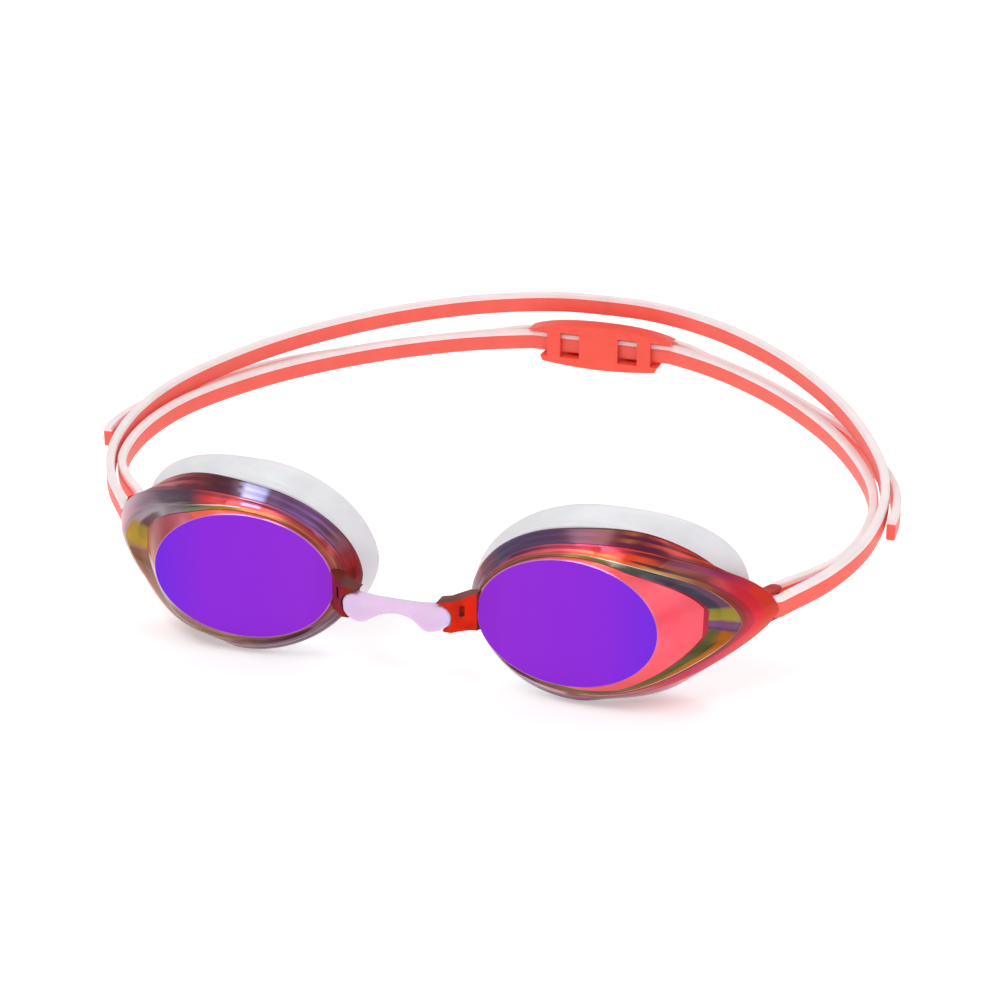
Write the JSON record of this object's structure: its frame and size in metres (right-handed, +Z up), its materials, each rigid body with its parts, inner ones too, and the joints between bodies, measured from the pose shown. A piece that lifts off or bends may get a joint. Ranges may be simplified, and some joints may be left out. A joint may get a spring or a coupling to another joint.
{
  "type": "swim goggles",
  "caption": "Low-profile racing swim goggles with mirrored oval windows, silicone gaskets, a soft nosepiece and a two-band strap with a rear clip.",
  "frame": {"origin": "middle of the goggles on the plane of their lowest point, under the eyecups' bottom edges", "axes": "+X to the wearer's left-hand side as drawn, along the widest span; -Y the way the wearer looks; +Z up"},
  "size_m": [0.1956, 0.1518, 0.0432],
  "materials": {
    "tinted_polycarbonate": "gloss",
    "white_silicone": "satin",
    "lilac_silicone": "satin",
    "strap_silicone": "satin",
    "clip_plastic": "satin"
  },
  "bodies": {
    "nosepiece": {"nosepiece": "lilac_silicone"},
    "left_eyecup": {"left_eyecup": "tinted_polycarbonate", "left_gasket": "white_silicone"},
    "left_loop": {"left_slot_loop": "strap_silicone"},
    "left_upper": {"left_upper_band": "strap_silicone"},
    "left_lower": {"left_lower_band": "strap_silicone"},
    "right_eyecup": {"right_eyecup": "tinted_polycarbonate", "right_gasket": "white_silicone"},
    "right_loop": {"right_slot_loop": "strap_silicone"},
    "right_upper": {"right_upper_band": "strap_silicone"},
    "right_lower": {"right_lower_band": "strap_silicone"},
    "rear_clip": {"rear_clip": "clip_plastic"}
  },
  "joints": [
    {"name": "nose_flex", "type": "hinge", "parent": "nosepiece", "child": "left_eyecup", "pos_m": [-0.012, -0.07424, 0.0176], "axis": [0, 0, -1], "range_deg": [-5, 5], "stiffness_Nm_per_rad": 0.5},
    {"name": "right_nose_flex", "type": "hinge", "parent": "nosepiece", "child": "right_eyecup", "pos_m": [0.012, -0.07424, 0.0176], "axis": [0, 0, 1], "range_deg": [-5, 5]},
    {"name": "left_loop_turn", "type": "hinge", "parent": "left_eyecup", "child": "left_loop", "pos_m": [-0.0768, -0.04734, 0.0195], "axis": [0, 0, -1], "range_deg": [-6.5, 6.5]},
    {"name": "right_loop_turn", "type": "hinge", "parent": "right_eyecup", "child": "right_loop", "pos_m": [0.0768, -0.04734, 0.0195], "axis": [0, 0, 1], "range_deg": [-6.5, 6.5]},
    {"name": "upper_band_swing", "type": "hinge", "parent": "left_loop", "child": "left_upper", "pos_m": [-0.0834, -0.04292, 0.02111], "axis": [1, 0, 0], "range_deg": [0, 30], "stiffness_Nm_per_rad": 0.2},
    {"name": "right_upper_swing", "type": "hinge", "parent": "right_loop", "child": "right_upper", "pos_m": [0.0834, -0.04292, 0.02111], "axis": [1, 0, 0], "range_deg": [0, 30]},
    {"name": "lower_band_swing", "type": "hinge", "parent": "left_loop", "child": "left_lower", "pos_m": [-0.08, -0.03964, 0.02069], "axis": [1, 0, 0], "range_deg": [-25, 0], "stiffness_Nm_per_rad": 0.3},
    {"name": "right_lower_swing", "type": "hinge", "parent": "right_loop", "child": "right_lower", "pos_m": [0.08, -0.03964, 0.02069], "axis": [1, 0, 0], "range_deg": [-25, 0]},
    {"name": "rear_clip_slide", "type": "slide", "parent": "left_lower", "child": "rear_clip", "axis": [1, 0, 0], "range_m": [-0.002, 0.002]}
  ],
  "couplings": [
    {"joint": "right_nose_flex", "follows": "nose_flex", "ratio": 1},
    {"joint": "left_loop_turn", "follows": "nose_flex", "ratio": -1.22},
    {"joint": "right_loop_turn", "follows": "nose_flex", "ratio": -1.22},
    {"joint": "right_upper_swing", "follows": "upper_band_swing", "ratio": 1},
    {"joint": "right_lower_swing", "follows": "lower_band_swing", "ratio": 1}
  ]
}
